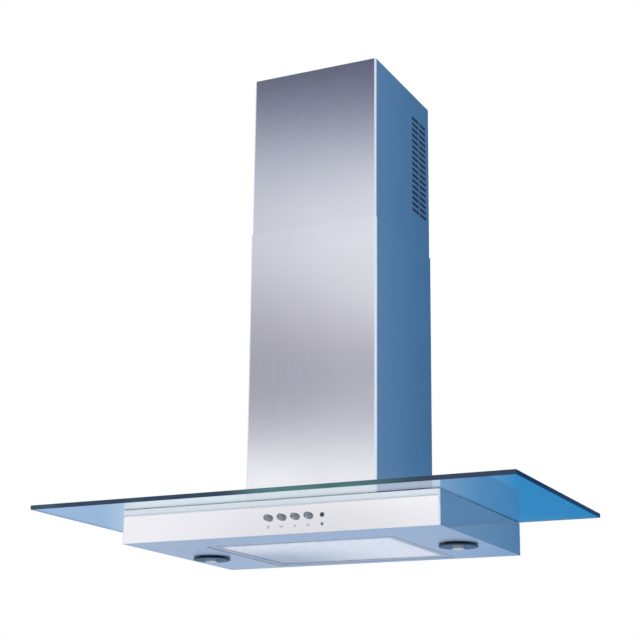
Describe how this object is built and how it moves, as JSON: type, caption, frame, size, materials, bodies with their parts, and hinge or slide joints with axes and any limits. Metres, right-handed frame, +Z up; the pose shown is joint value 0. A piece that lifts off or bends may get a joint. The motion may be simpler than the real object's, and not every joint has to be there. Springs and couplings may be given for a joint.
{
  "type": "chimney range hood",
  "caption": "Wall chimney range hood with flat glass shelf, shallow brushed-steel body, push buttons, round downlights, drop-down grease filter and telescopic rectangular chimney.",
  "frame": {"origin": "centre of the hood's width on the wall plane, at the level of the steel body's underside", "axes": "+Z up, +Y into the wall (the front faces -Y), +X to the right seen from the front"},
  "size_m": [0.9, 0.468, 0.9154],
  "materials": {
    "brushed_body": "fine horizontal brushing, satin",
    "brushed_chimney_lower": "fine vertical brushing, satin",
    "brushed_chimney_upper": "fine vertical brushing, satin",
    "galvanised": "spangled zinc coating",
    "glass": "clear tempered glass with polished edges",
    "rubber": "matt",
    "screw_steel": "bright zinc",
    "blower_plastic": "fine moulded grain",
    "impeller_plastic": "satin",
    "motor_steel": "varnished laminations",
    "shaft_steel": "ground",
    "box_plastic": "fine moulded grain",
    "board_green": "solder mask",
    "capacitor_can": "satin",
    "vent_black": "fine woven screen",
    "cable_black": "satin",
    "switch_plastic": "fine grain",
    "pilot_smoke": "smoked, unlit",
    "button_chrome": "satin chrome",
    "filter_aluminium": "satin anodised",
    "filter_mesh": "expanded metal mesh",
    "latch_plastic": "satin",
    "lamp_ring_black": "dark gloss bezel",
    "lamp_reflector": "bright reflector",
    "lamp_glass": "frosted lens",
    "bulb_glass": "clear capsule",
    "socket_ceramic": "unglazed"
  },
  "bodies": {
    "hood": {"canopy_shell": "brushed_body", "top_plate": "galvanised", "glass_shelf": "glass", "glass_gasket": "rubber", "glass_screws": "screw_steel", "glass_washers": "rubber", "lower_chimney": "brushed_chimney_lower", "chimney_clips": "galvanised", "blower_housing_left": "blower_plastic", "blower_housing_right": "blower_plastic", "blower_screws": "screw_steel", "blower_feet": "galvanised", "vibration_mounts": "rubber", "motor_body": "motor_steel", "motor_bracket": "galvanised", "outlet_collar": "blower_plastic", "damper_pin": "screw_steel", "control_box": "box_plastic", "control_box_cover": "box_plastic", "control_board": "board_green", "capacitor": "capacitor_can", "wiring_loom": "cable_black", "cable_gland": "cable_black", "switch_block": "switch_plastic", "switch_board": "board_green", "pilot_lens": "pilot_smoke", "lamp_ring_left": "lamp_ring_black", "lamp_cup_left": "lamp_reflector", "lamp_lens_left": "lamp_glass", "lamp_bulb_left": "bulb_glass", "lamp_socket_left": "socket_ceramic", "lamp_ring_right": "lamp_ring_black", "lamp_cup_right": "lamp_reflector", "lamp_lens_right": "lamp_glass", "lamp_bulb_right": "bulb_glass", "lamp_socket_right": "socket_ceramic", "body_screws": "screw_steel"},
    "upper_chimney": {"upper_chimney": "brushed_chimney_upper", "chimney_bracket": "galvanised", "chimney_screws": "screw_steel", "vent_screens": "vent_black"},
    "fan_wheel": {"impeller": "impeller_plastic", "motor_shaft": "shaft_steel"},
    "flap_front": {"damper_flap_front": "blower_plastic"},
    "flap_rear": {"damper_flap_rear": "blower_plastic"},
    "filter": {"filter_frame": "filter_aluminium", "filter_mesh_lower": "filter_mesh", "filter_core": "filter_mesh", "filter_mesh_upper": "filter_mesh", "filter_pins": "screw_steel"},
    "filter_latch": {"filter_latch": "latch_plastic"},
    "button_off": {"button_1": "button_chrome"},
    "button_low": {"button_2": "button_chrome"},
    "button_high": {"button_3": "button_chrome"},
    "button_light": {"button_4": "button_chrome"}
  },
  "joints": [
    {"name": "chimney_slide", "type": "slide", "parent": "hood", "child": "upper_chimney", "axis": [0, 0, 1], "range_m": [-0.28, 0.16]},
    {"name": "fan_spin", "type": "hinge", "parent": "hood", "child": "fan_wheel", "pos_m": [0, -0.132, 0.18], "axis": [1, 0, 0], "continuous": true},
    {"name": "flap_front_hinge", "type": "hinge", "parent": "hood", "child": "flap_front", "pos_m": [0, -0.16, 0.308], "axis": [-1, 0, 0], "range_deg": [0, 70]},
    {"name": "flap_rear_hinge", "type": "hinge", "parent": "hood", "child": "flap_rear", "pos_m": [0, -0.16, 0.308], "axis": [1, 0, 0], "range_deg": [0, 70]},
    {"name": "filter_hinge", "type": "hinge", "parent": "hood", "child": "filter", "pos_m": [0, -0.03, 0.005], "axis": [1, 0, 0], "range_deg": [0, 75]},
    {"name": "filter_latch_slide", "type": "slide", "parent": "filter", "child": "filter_latch", "axis": [0, 1, 0], "range_m": [0, 0.0042], "stiffness_N_per_m": 300, "springref_m": -0.003},
    {"name": "button_off_press", "type": "slide", "parent": "hood", "child": "button_off", "axis": [0, 1, 0], "range_m": [0, 0.003], "stiffness_N_per_m": 600, "springref_m": -0.002},
    {"name": "button_low_press", "type": "slide", "parent": "hood", "child": "button_low", "axis": [0, 1, 0], "range_m": [0, 0.003], "stiffness_N_per_m": 600, "springref_m": -0.002},
    {"name": "button_high_press", "type": "slide", "parent": "hood", "child": "button_high", "axis": [0, 1, 0], "range_m": [0, 0.003], "stiffness_N_per_m": 600, "springref_m": -0.002},
    {"name": "button_light_press", "type": "slide", "parent": "hood", "child": "button_light", "axis": [0, 1, 0], "range_m": [0, 0.003], "stiffness_N_per_m": 600, "springref_m": -0.002}
  ]
}
